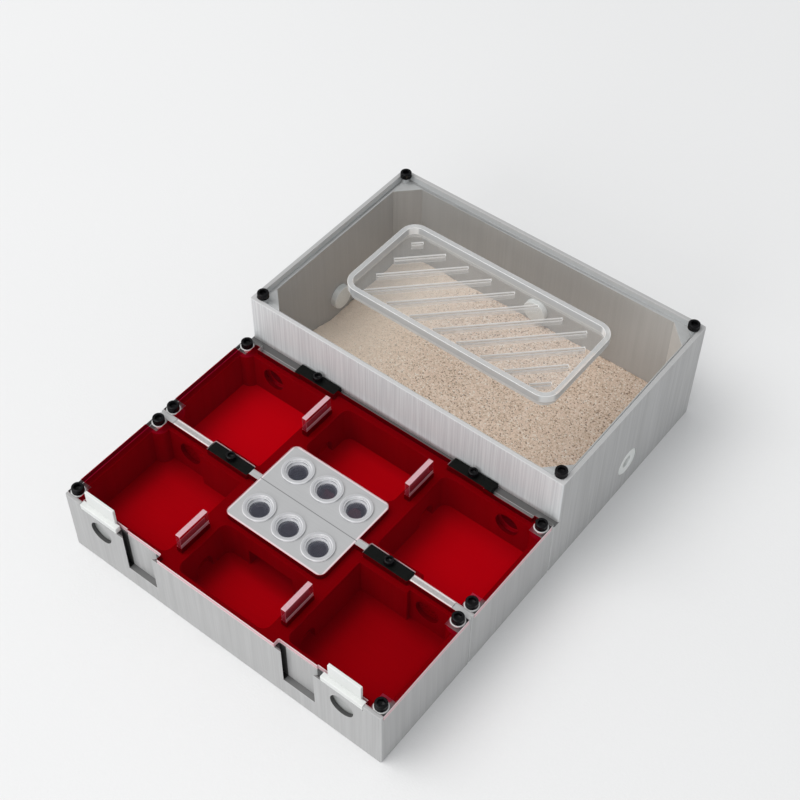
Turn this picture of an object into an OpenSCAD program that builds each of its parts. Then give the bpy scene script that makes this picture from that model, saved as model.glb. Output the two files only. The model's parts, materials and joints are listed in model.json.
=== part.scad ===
// Ant habitat: two low nest units and a taller foraging box, keyed together in one row.
// Millimetres. X runs along the front wall, Y from the front wall to the back, Z up.
// The origin lies on the table, in the middle of the outer size.

/* [Outer sizes] */
// Width of all three units along the front wall
unit_width = 170; // [166:1:220]
// Front to back size of one nest unit
nest_depth = 57.5; // [52:0.5:80]
// Height of a nest tray under its clear cover
tray_height = 32; // [27:0.5:45]
// Front to back size of the foraging box with its low front ledge
box_depth = 116; // [100:1:160]
// Height of the foraging box at its rim
box_height = 57.5; // [48:0.5:90]
// Radius of the upright outside edges
edge_round = 1; // [0.4:0.1:2]

/* [Walls and floors] */
// Floor under the sand
floor_thickness = 3; // [2:0.2:5]
// Height of the chamber floors above the table
chamber_floor = 12; // [3:0.5:15]
// End walls of a nest tray
end_wall = 3; // [2.4:0.2:5]
// Long walls of a nest tray where they hold gates and key pockets
long_wall = 5.6; // [5.2:0.2:8]
// Long wall on the seam side around the ports
seam_wall = 3.4; // [3:0.2:5]
// Wall between two chambers, with the gate slot in its middle
divider_wall = 8.5; // [7:0.5:12]
// Distance from the middle of a tray to the middle of a divider
divider_x = 28.25; // [28:0.25:32]
// Radius in the upright corners of the chambers
chamber_round = 4; // [1:0.5:6]
// Walls of the foraging box
box_wall = 4; // [3:0.2:6]
// Outer lip that stands round the clear cover of the box
rim_lip = 2; // [1.2:0.2:2.6]
// Depth of the low ledge before the front wall of the box
ledge = 3.4; // [3.3:0.1:5]
// Side of the filled corner in each corner of the box
post_leg = 10; // [8:0.5:14]

/* [Covers and film] */
// Thickness of the clear covers
cover_thickness = 3; // [2:0.5:4]
// Thickness of the red film on the nest covers
film_thickness = 0.25; // [0.1:0.05:0.4]
// Width of the lip that stands beside the long edges of a nest cover
side_lip = 1.6; // [1.2:0.1:2.2]
// Gap between a cover and the lips and panel around it
cover_gap = 0.15; // [0.05:0.05:0.4]
// Bare corner left in the film at each screw, along the width
film_notch_x = 6.6; // [6.4:0.1:12]
// Bare corner left in the film at each screw, along the depth
film_notch_y = 9.4; // [7:0.1:12]

/* [Ports and port gates] */
// Radius of the round passages through the long walls
port_radius = 5.7; // [4:0.1:6]
// Height of the port centres above the table
port_height = 23.5; // [19:0.5:24]
// Distance from the end of a unit to its port centres
port_inset = 19.5; // [18:0.5:26]
// Width of a port gate plate and its grip
gate_width = 16.4; // [14:0.2:17]
// Thickness of a front port gate plate
gate_plate = 1.4; // [1:0.1:1.4]
// Distance from the outer face to the front of a port gate plate
gate_setback = 2; // [1.8:0.1:2.2]
// Width of the shoulder that carries a port gate
shoulder_width = 21; // [19:0.5:21]
// Height that grips stand above the covers
grip_height = 8; // [4:0.5:12]
// Thickness of a gate plate in the seam between the trays
seam_plate = 2; // [1.4:0.2:2.4]
// Free play on each side of a gate
gate_play = 0.2; // [0.05:0.05:0.3]
// Wall left under a port where the gate stops
gate_foot = 1.8; // [1:0.2:4]
// Distance from a seam port to the thicker wall behind the key pocket
port_shoulder = 3; // [1:0.2:4]

/* [Chamber gates] */
// Thickness of a chamber gate
chamber_gate = 2.4; // [1.6:0.1:3]
// Length of a chamber gate along the depth
chamber_gate_length = 16.5; // [13:0.5:18]
// Distance from the outer face of a tray to the middle of its chamber gates
chamber_gate_y = 18.25; // [16:0.25:20]
// Radius of the arched passage under a chamber gate
passage_radius = 4.5; // [3:0.5:6]

/* [Connector keys] */
// Width of a key at its two wide ends
key_width = 22.8; // [18:0.2:23]
// Width of a key at the seam
key_waist = 16; // [13:0.2:17]
// Reach of a key into each unit
key_reach = 2.8; // [2.4:0.1:3.2]
// Space between a key and the shoulder of the gate beside it
key_space = 0.4; // [0.3:0.1:2]
// Height of the pocket floor above the table
key_floor = 10.5; // [5:0.5:14]
// Free play around a key
key_play = 0.1; // [0.05:0.05:0.2]
// Height of a key top above the tray
key_rise = 2.8; // [0.4:0.2:3]
// Corner radius of the notch that a cover leaves around a key
notch_round = 0.8; // [0.1:0.1:0.8]

/* [Vent panel] */
// Radius of the vent flanges
vent_flange = 7.2; // [6:0.1:8.8]
// Space between two vent flanges
vent_space = 1.6; // [0.6:0.1:4]
// Distance from the seam to the nearest vent flanges
vent_to_seam = 5.2; // [3:0.2:7]
// Margin of the panel in front of the vent flanges
panel_front = 3.2; // [2:0.2:5]
// Margin of the panel beside the outer vent flanges
panel_margin = 3.1; // [2:0.1:5]
// Corner radius of the panel
panel_round = 3; // [1:0.5:5]
// Thickness of the vent flanges
vent_flange_height = 1; // [0.6:0.1:2]
// Width of the flange ring beyond its sleeve
vent_lip = 1.3; // [0.8:0.1:2]
// Wall of the sleeve under its wide mouth
sleeve_wall = 0.8; // [0.6:0.1:1.2]
// Width of the shoulder in the sleeve, above the mesh
ring_step = 0.7; // [0.4:0.1:1]
// Width of the step that carries the mesh
mesh_step = 0.8; // [0.5:0.1:1.2]
// Depth of the mesh below the panel
mesh_drop = 1.7; // [1:0.1:3]
// Thickness of the mesh discs
mesh_thickness = 0.4; // [0.2:0.1:0.6]
// Length of the sleeve below the panel
sleeve_length = 4; // [3:0.5:6]
// Gap between a sleeve and its bore
sleeve_gap = 0.05; // [0.02:0.01:0.1]
// Wall between the middle chamber and the vent panel
panel_wall = 2.1; // [1.6:0.1:4]
// Width of the air way from the middle chamber to the space under the vents
air_way = 24; // [10:1:40]
// Height of the air way
air_way_height = 10; // [5:1:14]

/* [Feeding lid and sand] */
// Length of the lid rim
lid_length = 114; // [90:1:120]
// Depth of the lid rim
lid_depth = 53; // [42:1:64]
// Outer corner radius of the lid rim
lid_round = 8; // [5:0.5:12]
// Width of the lid rim
lid_rim = 2.5; // [2:0.1:4]
// Height of the lid rim above the cover
lid_rise = 4; // [2:0.5:8]
// Part of the rim width that rests on the cover
lid_seat = 1.2; // [0.8:0.1:1.4]
// Gap between the lid and the opening in the cover
lid_gap = 0.2; // [0.1:0.05:0.4]
// Width of the slanting vent slits
slit_width = 1.2; // [0.6:0.1:2]
// Distance between slits, measured along the width
slit_pitch = 13; // [8:0.5:20]
// Space between the rim and the ends of the slits, at the short sides
slit_margin_x = 4.75; // [3:0.25:12]
// Space between the rim and the ends of the slits, at the long sides
slit_margin_y = 3.5; // [3:0.25:12]
// Distance of the middle slit from the middle of the lid
slit_shift = 1.4; // [0:0.1:6]
// Slits that the corners would cut shorter than this are left out
slit_least = 3; // [1:0.5:8]
// Depth of the sand
sand_depth = 5; // [2:0.5:7]

/* [Box ports and plugs] */
// Height of the plug centres above the table
plug_height = 17; // [16:0.5:22]
// Radius of the plug body
plug_radius = 6.1; // [5:0.1:7]
// Width of the plug flange beyond the plug body
plug_lip = 0.8; // [0.4:0.1:2]
// Thickness of the plug flange, sunk level with the wall
plug_flange_height = 1.2; // [0.8:0.1:2]
// Reach of the plug beyond the inside of the wall
plug_reach = 3; // [1:0.5:6]
// Radius of the tube socket in the plug
socket_radius = 3.2; // [2:0.1:4]
// Gap between a plug and its bore
plug_gap = 0.08; // [0.02:0.01:0.1]

/* [Screws] */
// Shank radius of the cover screws
screw_radius = 1.5; // [1:0.1:2]
// Head radius of the cover screws
head_radius = 2.75; // [2:0.05:3.4]
// Head height of the cover screws
head_height = 3; // [2:0.1:4]
// Length of the cover screw shanks
screw_length = 12; // [8:1:16]
// Distance from the end of a nest unit to its screws
nest_screw_x = 3.5; // [3.4:0.1:5]
// Distance from the long face of a nest unit to its screws
nest_screw_y = 4.6; // [4.5:0.1:6]
// Distance from the box faces to its screws
box_screw_inset = 4.3; // [4:0.1:5]
// Shank radius of the key screws
key_screw_radius = 1.25; // [0.8:0.05:1.25]
// Head radius of the key screws
key_head_radius = 2.25; // [1.8:0.05:2.4]
// Head height of the key screws
key_head_height = 2.5; // [1.5:0.1:3]
// Length of the key screw shanks
key_screw_length = 12; // [6:1:16]
// Gap between a screw shank and its hole
screw_gap = 0.05; // [0.02:0.01:0.1]

/* [Hidden] */
half_width = unit_width / 2;
total_depth = 2 * nest_depth + box_depth;
front_y = -total_depth / 2;
seam_y = front_y + nest_depth;
box_y = front_y + 2 * nest_depth;
cover_top = tray_height + cover_thickness;
port_x = half_width - port_inset;
key_x = port_x - shoulder_width / 2 - key_width / 2 - key_space;
vent_pitch = 2 * vent_flange + vent_space;
vent_offset = vent_to_seam + vent_flange;
vent_sleeve = vent_flange - vent_lip;
vent_mouth = vent_sleeve - sleeve_wall;
vent_seat = vent_mouth - ring_step;
vent_opening = vent_seat - mesh_step;
panel_half = vent_pitch + vent_flange + panel_margin;
panel_depth = vent_offset + vent_flange + panel_front;
panel_y = nest_depth - panel_depth;
gate_slot_back = gate_setback + gate_plate + gate_play;
gate_bottom = port_height - port_radius - gate_foot;
gate_cut = gate_width + 2 * gate_play;
shoulder_cut = shoulder_width + 2 * gate_play;
boss_end = port_x - port_radius - port_shoulder;
chamber_near = divider_x + divider_wall / 2;
middle_half = divider_x - divider_wall / 2;
middle_back = panel_y - panel_wall;
box_mid = (ledge + box_depth) / 2;
box_inner_y = ledge + box_wall;
cover_seat = box_height - cover_thickness;
plug_flange = plug_radius + plug_lip;
slit_field_x = lid_length - 2 * (lid_rim + slit_margin_x);
slit_field_y = lid_depth - 2 * (lid_rim + slit_margin_y);
round_steps = 64;
over = 1;

// ---- Outlines and small shapes used by several pieces ----

// Rectangle centred on the origin with true round corners
module rounded_outline(size_x, size_y, radius) {
    square([size_x - 2 * radius, size_y], center = true);
    square([size_x, size_y - 2 * radius], center = true);
    for (side_x = [-1, 1], side_y = [-1, 1])
        translate([side_x * (size_x / 2 - radius), side_y * (size_y / 2 - radius)])
            circle(radius, $fn = round_steps);
}

// Bow-tie outline of a key, centred on the seam and grown by the play on every side
module key_outline(play) {
    flank = (key_width - key_waist) / (2 * key_reach);
    waist = key_waist / 2 + play;
    wide = key_width / 2 + play * (1 + flank);
    reach = key_reach + play;
    polygon([[waist, 0], [wide, reach], [-wide, reach], [-waist, 0], [-wide, -reach], [wide, -reach]]);
}

// Straight-ended outline of the head of a key, at the height of the covers
module key_head_outline(play) {
    square([key_width + 2 * play, 2 * (key_reach + play)], center = true);
}

// Pocket for half a key, open upwards
module key_pocket() {
    translate([0, 0, key_floor]) linear_extrude(tray_height - key_floor + over) key_outline(key_play);
    translate([0, 0, tray_height]) linear_extrude(cover_thickness + over) key_head_outline(key_play);
}

// Screw holes of one nest unit, as circles in its plan
module nest_screw_spots() {
    for (side = [-1, 1], y = [nest_screw_y, nest_depth - nest_screw_y])
        translate([side * (half_width - nest_screw_x), y]) children();
}

module box_screw_spots() {
    for (side = [-1, 1], y = [ledge + box_screw_inset, box_depth - box_screw_inset])
        translate([side * (half_width - box_screw_inset), y]) children();
}

// Socket head screw, its head standing on z = 0 and its shank below
module socket_screw(shank, length, head, height) {
    difference() {
        union() {
            cylinder(h = height, r = head, $fn = round_steps);
            translate([0, 0, -length]) cylinder(h = length, r = shank, $fn = round_steps);
        }
        translate([0, 0, height * 0.45]) cylinder(h = height, r = head * 0.5, $fn = 6);
    }
}

// ---- Nest units, drawn with the outer face at y = 0 and the seam face at nest_depth ----

module tray_outline() {
    translate([0, nest_depth / 2]) rounded_outline(unit_width, nest_depth, edge_round);
}

// Chamber on the +x side, without the parts the screw bosses and wall bosses take
module side_chamber_outline() {
    size_x = half_width - end_wall - chamber_near;
    near_y = long_wall;
    size_y = nest_depth - long_wall - seam_wall;
    difference() {
        translate([chamber_near + size_x / 2, near_y + size_y / 2])
            rounded_outline(size_x, size_y, chamber_round);
        translate([chamber_near - over, nest_depth - long_wall])
            square([boss_end - chamber_near + over, long_wall]);
        nest_screw_spots() circle(nest_screw_y, $fn = round_steps);
    }
}

// Vent panel of both trays, round at its four corners and centred on the seam
module panel_outline(gap) {
    translate([0, nest_depth])
        rounded_outline(2 * (panel_half + gap), 2 * (panel_depth + gap), panel_round + gap);
}

// Notch in a cover around the place of a key, its round corners clear of the key's sharp ones
module cover_notch_outline() {
    margin = key_play + cover_gap;
    radius = min(notch_round, 3 * margin);
    rounded_outline(key_width + 2 * margin, 2 * (key_reach + margin), radius);
}

module middle_chamber_outline() {
    translate([0, (end_wall + middle_back) / 2])
        rounded_outline(2 * middle_half, middle_back - end_wall, chamber_round);
}

// Passage under a chamber gate, an arch on the chamber floor
module chamber_passage() {
    translate([divider_x, chamber_gate_y, chamber_floor + passage_radius]) {
        rotate([0, 90, 0])
            cylinder(h = divider_wall + 4, r = passage_radius, center = true, $fn = round_steps);
        translate([-divider_wall / 2 - 2, -passage_radius, -passage_radius])
            cube([divider_wall + 4, 2 * passage_radius, passage_radius]);
    }
}

// Everything a port needs: round passage, gate slots and the notches in the lips
module port_cuts() {
    translate([port_x, nest_depth / 2, port_height]) rotate([90, 0, 0])
        cylinder(h = nest_depth + 2 * over, r = port_radius, center = true, $fn = round_steps);
    // slot of the front gate, inside the outer wall
    translate([port_x - gate_cut / 2, gate_setback - gate_play, gate_bottom])
        cube([gate_cut, gate_plate + 2 * gate_play, tray_height]);
    // half of the slot shared by the two trays
    translate([port_x - gate_cut / 2, nest_depth - seam_plate / 2 - gate_play, gate_bottom])
        cube([gate_cut, seam_plate / 2 + gate_play + over, tray_height]);
    // notches in both lips for the gate shoulders, open towards the heads of the keys
    for (y = [-over, nest_depth - side_lip - over])
        translate([key_x, y, tray_height])
            cube([port_x + shoulder_cut / 2 - key_x, side_lip + 2 * over, cover_thickness + over]);
}

module nest_base() {
    // the air space under the vent panel keeps this much wall all round
    cavity_y = panel_y + end_wall;
    cavity_half = middle_half - 1;
    difference() {
        union() {
            linear_extrude(tray_height) tray_outline();
            translate([0, 0, tray_height]) linear_extrude(cover_thickness) intersection() {
                tray_outline();
                union() {
                    for (side = [-1, 1]) {
                        // outer lip runs from the key pocket to the end
                        translate([side > 0 ? key_x : -half_width, 0])
                            square([half_width - key_x, side_lip]);
                        translate([side > 0 ? panel_half : -half_width, nest_depth - side_lip])
                            square([half_width - panel_half, side_lip]);
                    }
                }
            }
        }
        for (side = [0, 1]) mirror([side, 0, 0]) {
            translate([0, 0, chamber_floor]) linear_extrude(tray_height) side_chamber_outline();
            chamber_passage();
            port_cuts();
            // slot of the chamber gate
            translate([divider_x - chamber_gate / 2 - gate_play,
                       chamber_gate_y - chamber_gate_length / 2 - gate_play, chamber_floor])
                cube([chamber_gate + 2 * gate_play, chamber_gate_length + 2 * gate_play, tray_height]);
            for (y = [0, nest_depth]) translate([key_x, y, 0]) key_pocket();
        }
        translate([0, 0, chamber_floor]) linear_extrude(tray_height) middle_chamber_outline();
        // air space under the vent panel, open to the middle chamber
        translate([-cavity_half, cavity_y, chamber_floor])
            cube([2 * cavity_half, panel_depth - 2 * end_wall, tray_height]);
        translate([-air_way / 2, middle_back - over, chamber_floor])
            cube([air_way, cavity_y - middle_back + 2 * over, air_way_height]);
        nest_screw_spots() translate([0, 0, tray_height - screw_length])
            cylinder(h = screw_length + over, r = screw_radius + screw_gap, $fn = round_steps);
    }
}

// Plate over the air space, level with the covers around it
module vent_panel() {
    color([0.75, 0.76, 0.77]) translate([0, 0, tray_height]) linear_extrude(cover_thickness)
        difference() {
            intersection() {
                panel_outline(0);
                translate([-half_width, 0]) square([unit_width, nest_depth]);
            }
            for (step = [-1, 0, 1]) translate([step * vent_pitch, nest_depth - vent_offset])
                circle(vent_sleeve + sleeve_gap, $fn = round_steps);
        }
}

// Plan shared by the clear cover and the film that lies on it
module cover_outline() {
    difference() {
        translate([-half_width, 0]) square([unit_width, nest_depth]);
        for (side = [0, 1]) mirror([side, 0]) {
            // the cover stays inside the lips, but reaches the outer face between the keys
            translate([key_x, -over]) square([half_width, side_lip + cover_gap + over]);
            translate([0, nest_depth - side_lip - cover_gap]) square([half_width + over, nest_depth]);
            // the cut for the gate runs on into the key pocket
            translate([key_x + key_waist / 2, -over])
                square([port_x + shoulder_cut / 2 - key_x - key_waist / 2, gate_slot_back + over]);
            for (y = [0, nest_depth]) translate([key_x, y]) cover_notch_outline();
            translate([divider_x - chamber_gate / 2 - gate_play,
                       chamber_gate_y - chamber_gate_length / 2 - gate_play])
                square([chamber_gate + 2 * gate_play, chamber_gate_length + 2 * gate_play]);
        }
        panel_outline(cover_gap);
    }
}

module nest_cover() {
    color([0.9, 0.93, 0.93, 0.35]) translate([0, 0, tray_height]) linear_extrude(cover_thickness)
        difference() {
            cover_outline();
            nest_screw_spots() circle(screw_radius + screw_gap + 0.15, $fn = round_steps);
        }
}

module red_film() {
    color([0.75, 0.02, 0.05, 0.6]) translate([0, 0, cover_top]) linear_extrude(film_thickness)
        difference() {
            cover_outline();
            for (side = [-1, 1], y = [0, nest_depth])
                translate([side * half_width, y])
                    square([2 * film_notch_x, 2 * film_notch_y], center = true);
        }
}

module front_unit() { translate([0, front_y, 0]) children(); }
module rear_unit() { translate([0, box_y, 0]) rotate([0, 0, 180]) children(); }

module nest_base_front() { color([0.73, 0.73, 0.73]) front_unit() nest_base(); }
module nest_base_rear() { color([0.73, 0.73, 0.73]) rear_unit() nest_base(); }
module vent_panel_front() { front_unit() vent_panel(); }
module vent_panel_rear() { rear_unit() vent_panel(); }
module nest_cover_front() { front_unit() nest_cover(); }
module nest_cover_rear() { rear_unit() nest_cover(); }
module red_film_front() { front_unit() red_film(); }
module red_film_rear() { rear_unit() red_film(); }

// ---- Gates ----

// Front port gate: plate in the slot, shoulder on the wall, grip above the cover
module port_gate() {
    color([0.92, 0.95, 0.94]) union() {
        translate([-gate_width / 2, gate_setback, gate_bottom])
            cube([gate_width, gate_plate, cover_top + grip_height - gate_bottom]);
        translate([-shoulder_width / 2, 0, tray_height])
            cube([shoulder_width, gate_setback + gate_plate / 2, cover_thickness]);
    }
}

// Gate in the seam: one plate for the facing ports of both trays, its cap level with the lips
module seam_gate() {
    color([0.92, 0.95, 0.94]) union() {
        translate([-gate_width / 2, -seam_plate / 2, gate_bottom])
            cube([gate_width, seam_plate, tray_height - gate_bottom + over]);
        translate([-shoulder_width / 2, -side_lip, tray_height])
            cube([shoulder_width, 2 * side_lip, cover_thickness]);
    }
}

module chamber_gate_plate() {
    color([0.9, 0.85, 0.86, 0.6])
        translate([-chamber_gate / 2, chamber_gate_y - chamber_gate_length / 2, chamber_floor])
            cube([chamber_gate, chamber_gate_length, cover_top + grip_height - chamber_floor]);
}

module chamber_gate_front_left() { front_unit() translate([-divider_x, 0, 0]) chamber_gate_plate(); }
module chamber_gate_front_right() { front_unit() translate([divider_x, 0, 0]) chamber_gate_plate(); }
module chamber_gate_rear_left() { rear_unit() translate([divider_x, 0, 0]) chamber_gate_plate(); }
module chamber_gate_rear_right() { rear_unit() translate([-divider_x, 0, 0]) chamber_gate_plate(); }
module port_gate_front_left() { front_unit() translate([-port_x, 0, 0]) port_gate(); }
module port_gate_front_right() { front_unit() translate([port_x, 0, 0]) port_gate(); }
module seam_gate_left() { translate([-port_x, seam_y, 0]) seam_gate(); }
module seam_gate_right() { translate([port_x, seam_y, 0]) seam_gate(); }

// ---- Connector keys ----

module key_place(side, y) { translate([side * key_x, y, 0]) children(); }

// Bow-tie body in both units, under a straight head between the covers
module key() {
    color([0.08, 0.09, 0.08]) difference() {
        union() {
            translate([0, 0, key_floor]) linear_extrude(tray_height - key_floor) key_outline(0);
            translate([0, 0, tray_height]) linear_extrude(key_rise) key_head_outline(0);
        }
        translate([0, 0, tray_height + key_rise - key_screw_length])
            cylinder(h = key_screw_length + over, r = key_screw_radius + screw_gap, $fn = round_steps);
    }
}

module key_screw() {
    color([0.05, 0.05, 0.05]) translate([0, 0, tray_height + key_rise])
        socket_screw(key_screw_radius, key_screw_length, key_head_radius, key_head_height);
}

module key_nests_left() { key_place(-1, seam_y) key(); }
module key_nests_right() { key_place(1, seam_y) key(); }
module key_box_left() { key_place(-1, box_y) key(); }
module key_box_right() { key_place(1, box_y) key(); }
module key_screw_nests_left() { key_place(-1, seam_y) key_screw(); }
module key_screw_nests_right() { key_place(1, seam_y) key_screw(); }
module key_screw_box_left() { key_place(-1, box_y) key_screw(); }
module key_screw_box_right() { key_place(1, box_y) key_screw(); }

// ---- Vents in the middle of the two trays ----

module vent_spots() {
    for (step = [-1, 0, 1], side = [-1, 1])
        translate([step * vent_pitch, seam_y + side * vent_offset, cover_top]) children();
}

// Flanged sleeve that narrows in two steps down to the one that carries the mesh
module vent_rings() {
    color([0.95, 0.95, 0.96]) vent_spots() rotate_extrude($fn = round_steps) polygon([
        [vent_opening, -sleeve_length], [vent_sleeve, -sleeve_length], [vent_sleeve, 0],
        [vent_flange, 0], [vent_flange, vent_flange_height], [vent_sleeve, vent_flange_height],
        [vent_sleeve, vent_flange_height * 0.4], [vent_mouth, vent_flange_height * 0.4],
        [vent_mouth, -mesh_drop / 2], [vent_seat, -mesh_drop / 2],
        [vent_seat, -mesh_drop], [vent_opening, -mesh_drop]]);
}

module vent_meshes() {
    color([0.4, 0.42, 0.44]) vent_spots() translate([0, 0, -mesh_drop])
        cylinder(h = mesh_thickness, r = vent_seat - sleeve_gap, $fn = round_steps);
}

// ---- Foraging box, drawn with its ledge face at y = 0 ----

// Plan of the inside: a rectangle with its four corners filled
module box_inside_outline() {
    inside_half = half_width - box_wall;
    back = box_depth - box_wall;
    polygon([[-inside_half + post_leg, box_inner_y], [inside_half - post_leg, box_inner_y],
             [inside_half, box_inner_y + post_leg], [inside_half, back - post_leg],
             [inside_half - post_leg, back], [-inside_half + post_leg, back],
             [-inside_half, back - post_leg], [-inside_half, box_inner_y + post_leg]]);
}

// Places a plug drawn along +z, its flange face at z = 0, on the left, right or back wall
module on_left_wall() { translate([-half_width, box_mid, plug_height]) rotate([0, -90, 0]) children(); }
module on_right_wall() { translate([half_width, box_mid, plug_height]) rotate([0, 90, 0]) children(); }
module on_back_wall() { translate([0, box_depth, plug_height]) rotate([-90, 0, 0]) children(); }

module plug_bore() {
    translate([0, 0, -box_wall - over])
        cylinder(h = box_wall + 2 * over, r = plug_radius + plug_gap, $fn = round_steps);
    translate([0, 0, -plug_flange_height])
        cylinder(h = plug_flange_height + over, r = plug_flange + plug_gap, $fn = round_steps);
}

module box_base() {
    difference() {
        union() {
            linear_extrude(tray_height) translate([0, box_depth / 2])
                rounded_outline(unit_width, box_depth, edge_round);
            linear_extrude(box_height) translate([0, box_mid])
                rounded_outline(unit_width, box_depth - ledge, edge_round);
        }
        translate([0, 0, floor_thickness]) linear_extrude(box_height) box_inside_outline();
        // seat of the clear cover
        translate([0, 0, cover_seat]) linear_extrude(box_height) translate([0, box_mid])
            rounded_outline(unit_width - 2 * rim_lip, box_depth - ledge - 2 * rim_lip, edge_round);
        for (side = [-1, 1]) {
            translate([side * key_x, 0, 0]) key_pocket();
            translate([side * port_x, 0, port_height]) rotate([-90, 0, 0]) translate([0, 0, -over])
                cylinder(h = box_inner_y + post_leg + over, r = port_radius, $fn = round_steps);
        }
        on_left_wall() plug_bore();
        on_right_wall() plug_bore();
        on_back_wall() plug_bore();
        box_screw_spots() translate([0, 0, cover_seat - screw_length])
            cylinder(h = screw_length + over, r = screw_radius + screw_gap, $fn = round_steps);
    }
}

module outworld_base() { color([0.74, 0.74, 0.74]) translate([0, box_y, 0]) box_base(); }

module lid_outline(inset) {
    translate([0, box_mid])
        rounded_outline(lid_length - 2 * inset, lid_depth - 2 * inset, lid_round - inset);
}

module outworld_cover() {
    color([0.88, 0.91, 0.91, 0.3]) translate([0, box_y, cover_seat]) linear_extrude(cover_thickness)
        difference() {
            translate([0, box_mid]) rounded_outline(unit_width - 2 * (rim_lip + cover_gap),
                box_depth - ledge - 2 * (rim_lip + cover_gap), edge_round);
            lid_outline(lid_seat);
            box_screw_spots() circle(screw_radius + screw_gap + 0.15, $fn = round_steps);
        }
}

// Slanting slits, each clipped to the rectangular field
module lid_slits() {
    half_x = slit_field_x / 2;
    half_y = slit_field_y / 2;
    reach = half_x + half_y - slit_least;
    translate([0, box_mid])
    for (step = [ceil((-reach - slit_shift) / slit_pitch) : floor((reach - slit_shift) / slit_pitch)]) {
        shift = slit_shift + step * slit_pitch;
        start = max(-half_x, -half_y - shift);
        end = min(half_x, half_y - shift);
        translate([start, start + shift]) rotate(45)
            translate([0, -slit_width / 2]) square([(end - start) * sqrt(2), slit_width]);
    }
}

module feeding_lid() {
    color([0.85, 0.88, 0.9, 0.4]) translate([0, box_y, cover_seat]) {
        linear_extrude(cover_thickness) difference() {
            lid_outline(lid_seat + lid_gap);
            lid_slits();
        }
        translate([0, 0, cover_thickness]) linear_extrude(lid_rise) difference() {
            lid_outline(0);
            lid_outline(lid_rim);
        }
    }
}

module sand_bed() {
    color([0.8, 0.72, 0.62]) translate([0, box_y, floor_thickness])
        linear_extrude(sand_depth) box_inside_outline();
}

module port_plug() {
    color([0.93, 0.93, 0.92]) difference() {
        union() {
            translate([0, 0, -plug_flange_height])
                cylinder(h = plug_flange_height, r = plug_flange, $fn = round_steps);
            translate([0, 0, -box_wall - plug_reach])
                cylinder(h = box_wall + plug_reach, r = plug_radius, $fn = round_steps);
        }
        translate([0, 0, -box_wall - plug_reach / 2])
            cylinder(h = box_wall + plug_reach, r = socket_radius, $fn = round_steps);
    }
}

module port_plug_left() { translate([0, box_y, 0]) on_left_wall() port_plug(); }
module port_plug_right() { translate([0, box_y, 0]) on_right_wall() port_plug(); }
module port_plug_back() { translate([0, box_y, 0]) on_back_wall() port_plug(); }

// ---- Cover screws ----

module cover_screw() {
    color([0.05, 0.05, 0.05]) socket_screw(screw_radius, screw_length, head_radius, head_height);
}

module screws_nest_front() { front_unit() nest_screw_spots() translate([0, 0, cover_top]) cover_screw(); }
module screws_nest_rear() { rear_unit() nest_screw_spots() translate([0, 0, cover_top]) cover_screw(); }
module screws_box() {
    translate([0, box_y, 0]) box_screw_spots() translate([0, 0, box_height]) cover_screw();
}

nest_base_front();
nest_base_rear();
vent_panel_front();
vent_panel_rear();
nest_cover_front();
nest_cover_rear();
red_film_front();
red_film_rear();
outworld_base();
outworld_cover();
feeding_lid();
sand_bed();
port_plug_left();
port_plug_right();
port_plug_back();
chamber_gate_front_left();
chamber_gate_front_right();
chamber_gate_rear_left();
chamber_gate_rear_right();
port_gate_front_left();
port_gate_front_right();
seam_gate_left();
seam_gate_right();
key_nests_left();
key_nests_right();
key_box_left();
key_box_right();
key_screw_nests_left();
key_screw_nests_right();
key_screw_box_left();
key_screw_box_right();
vent_rings();
vent_meshes();
screws_nest_front();
screws_nest_rear();
screws_box();
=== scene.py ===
import bpy
import bmesh
import json
import math
import random
from mathutils import Matrix, Vector, noise


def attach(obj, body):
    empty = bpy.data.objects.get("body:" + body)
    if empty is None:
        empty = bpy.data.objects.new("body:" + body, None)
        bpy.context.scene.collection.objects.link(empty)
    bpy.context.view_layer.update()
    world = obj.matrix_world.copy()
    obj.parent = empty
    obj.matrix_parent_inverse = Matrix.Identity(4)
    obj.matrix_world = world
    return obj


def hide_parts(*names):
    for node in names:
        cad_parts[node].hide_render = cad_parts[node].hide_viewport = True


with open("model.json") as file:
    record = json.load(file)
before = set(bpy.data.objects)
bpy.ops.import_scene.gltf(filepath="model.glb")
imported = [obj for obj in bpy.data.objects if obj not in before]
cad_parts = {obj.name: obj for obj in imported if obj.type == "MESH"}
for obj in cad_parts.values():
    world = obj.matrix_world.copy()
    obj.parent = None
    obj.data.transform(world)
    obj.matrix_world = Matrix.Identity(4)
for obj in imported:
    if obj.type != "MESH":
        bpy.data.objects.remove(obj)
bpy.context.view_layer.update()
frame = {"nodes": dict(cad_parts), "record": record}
print("frame loaded:", len(frame["nodes"]), "nodes")

mm = 0.001  # the sizes below are in millimetres, the scene is in metres

habitat = {"halfWidth": 85.0, "frontY": -115.5, "seamY": -58.0, "boxY": -0.5, "backY": 115.5,
           "unitDepth": 57.5, "trayTop": 32.0, "coverTop": 35.0, "boxTop": 57.5, "keyX": 43.2,
           "keyTop": 34.8, "portX": 65.5, "portZ": 23.5, "portRadius": 5.74, "boxLedge": 3.4,
           "boxScrewIn": 4.3}

coverScrew = {"head": 2.75, "height": 3.0, "ribs": 40, "ribDepth": 0.13, "socket": 1.45,
              "socketDepth": 1.65, "shank": 1.49, "root": 1.27, "length": 12.0, "thread": 0.5,
              "fromSide": 3.5, "fromEnd": 4.6}

camera = {"azimuth": 37.779, "elevation": 49.581, "roll": 0.546,
          "aim": (-24.98, 36.23, 0.0), "distance": 704.83, "lens": 66.94}

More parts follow.
